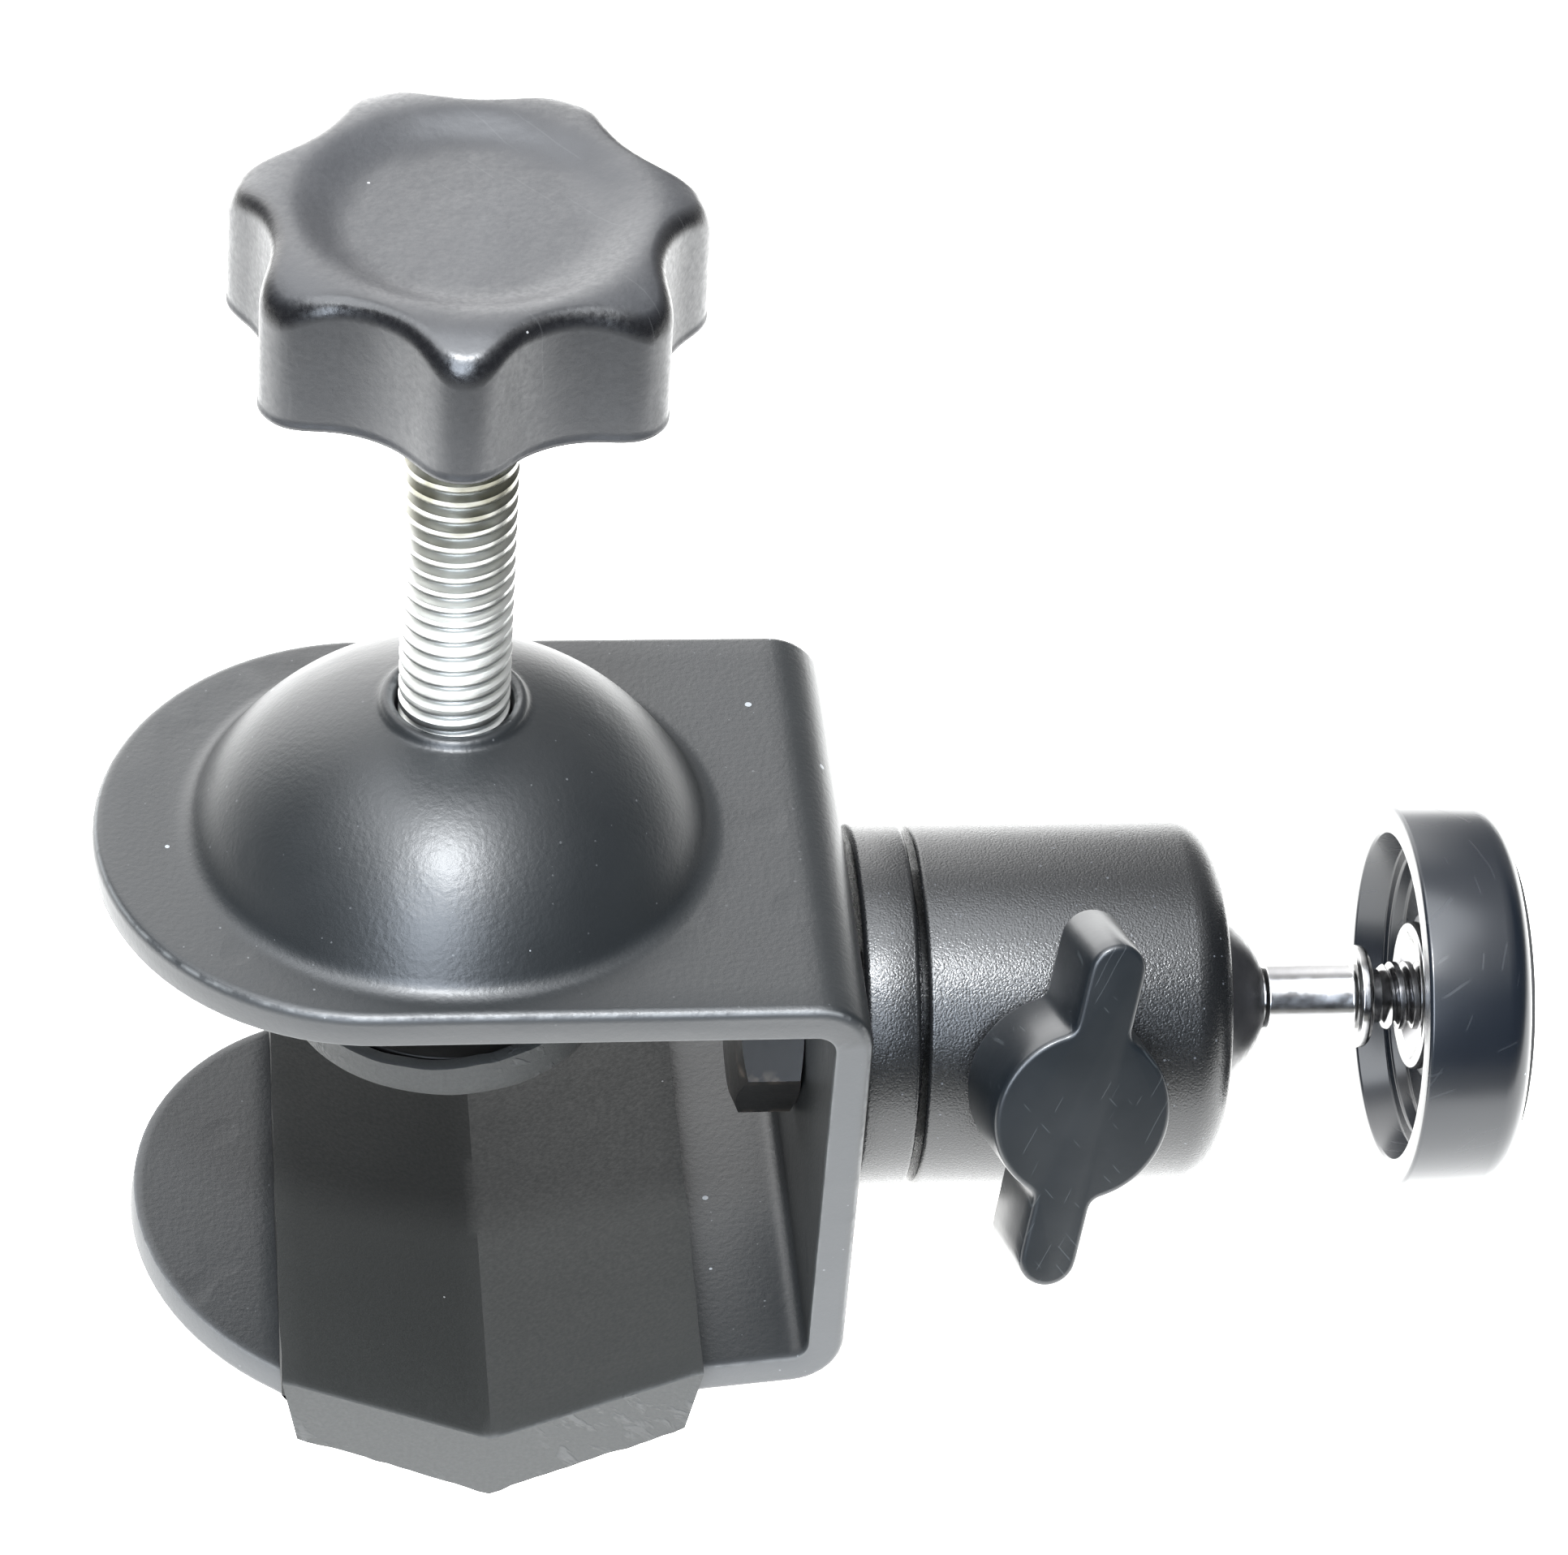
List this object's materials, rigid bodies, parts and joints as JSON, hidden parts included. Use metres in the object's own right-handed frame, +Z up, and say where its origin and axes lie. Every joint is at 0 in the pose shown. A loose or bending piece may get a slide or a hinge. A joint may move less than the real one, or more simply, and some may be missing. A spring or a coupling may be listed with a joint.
{
  "type": "super clamp",
  "caption": "C-frame clamp with a domed top plate, star-knob screw, swivel foot and rubber V pad, carrying a small lockable ball head with a stud and locking disc.",
  "frame": {"origin": "where the clamp screw's axis meets the left face of the V pad", "axes": "+X from the open end of the jaw to the ball head and its platform, +Z up along the clamp screw to its knob, +Y across the strip away from the wing knob"},
  "size_m": [0.1283, 0.0601, 0.1203],
  "materials": {
    "powder_coat": "semi-gloss black powder coat",
    "dark_steel": "black oxide",
    "pad_rubber": "matte moulded rubber",
    "zinc": "bright zinc plate",
    "satin_plastic": "satin",
    "anodised": "bead blasted, black anodised",
    "brass": "turned",
    "ball_black": "satin black anodised",
    "chrome": "polished chrome plate",
    "wing_plastic": "glossy",
    "gloss_plastic": "glossy",
    "face_rubber": "thin matte rubber sheet"
  },
  "bodies": {
    "frame": {"clamp_frame": "powder_coat", "weld_nut": "dark_steel", "v_pad": "pad_rubber", "mount_bolt": "dark_steel", "base_washer": "dark_steel", "ballhead_base": "anodised", "ballhead_housing": "anodised"},
    "foot_carrier": {"foot_ring": "dark_steel"},
    "screw": {"clamp_screw": "zinc", "star_knob": "satin_plastic"},
    "foot": {"foot_disc": "dark_steel", "foot_boot": "pad_rubber"},
    "lock_carrier": {"lock_plunger": "brass"},
    "lock": {"lock_screw": "zinc", "wing_knob": "wing_plastic"},
    "seat": {"ball_seat": "brass"},
    "ball": {"ball": "ball_black"},
    "stem": {"ball_stem": "chrome"},
    "platform_carrier": {"platform_insert": "chrome"},
    "platform": {"platform_disc": "gloss_plastic", "platform_pad": "face_rubber"}
  },
  "joints": [
    {"name": "screw_travel", "type": "slide", "parent": "frame", "child": "foot_carrier", "axis": [0, 0, 1], "range_m": [-0.01905, 0.01005]},
    {"name": "screw_turn", "type": "hinge", "parent": "foot_carrier", "child": "screw", "pos_m": [0, 0, 0.034], "axis": [0, 0, 1], "range_deg": [-4330, 2290]},
    {"name": "foot_tilt", "type": "hinge", "parent": "foot_carrier", "child": "foot", "pos_m": [0, 0, 0.034], "axis": [0, 1, 0], "range_deg": [-6, 6]},
    {"name": "lock_travel", "type": "slide", "parent": "frame", "child": "lock_carrier", "axis": [0.1219, -0.9222, 0.367], "range_m": [0, 0.0015]},
    {"name": "lock_turn", "type": "hinge", "parent": "lock_carrier", "child": "lock", "pos_m": [0.05, 0, 0.0235], "axis": [0.1219, -0.9222, 0.367], "range_deg": [0, 545]},
    {"name": "ball_pan", "type": "hinge", "parent": "frame", "child": "seat", "pos_m": [0.0658, 0, 0.0235], "axis": [1, 0, 0], "continuous": true},
    {"name": "ball_tilt", "type": "hinge", "parent": "seat", "child": "ball", "pos_m": [0.0658, 0, 0.0235], "axis": [0, 1, 0], "range_deg": [-35, 35]},
    {"name": "stem_spin", "type": "hinge", "parent": "ball", "child": "stem", "pos_m": [0.0658, 0, 0.0235], "axis": [1, 0, 0], "continuous": true},
    {"name": "platform_travel", "type": "slide", "parent": "stem", "child": "platform_carrier", "axis": [1, 0, 0], "range_m": [-0.0037, 0.003]},
    {"name": "platform_turn", "type": "hinge", "parent": "platform_carrier", "child": "platform", "pos_m": [0.0858, 0, 0.0235], "axis": [1, 0, 0], "range_deg": [-1055, 856]}
  ],
  "couplings": [
    {"joint": "screw_turn", "follows": "screw_travel", "rad_per_m": 3957.9},
    {"joint": "lock_turn", "follows": "lock_travel", "rad_per_m": 6283.2},
    {"joint": "platform_turn", "follows": "platform_travel", "rad_per_m": 4947.4}
  ]
}
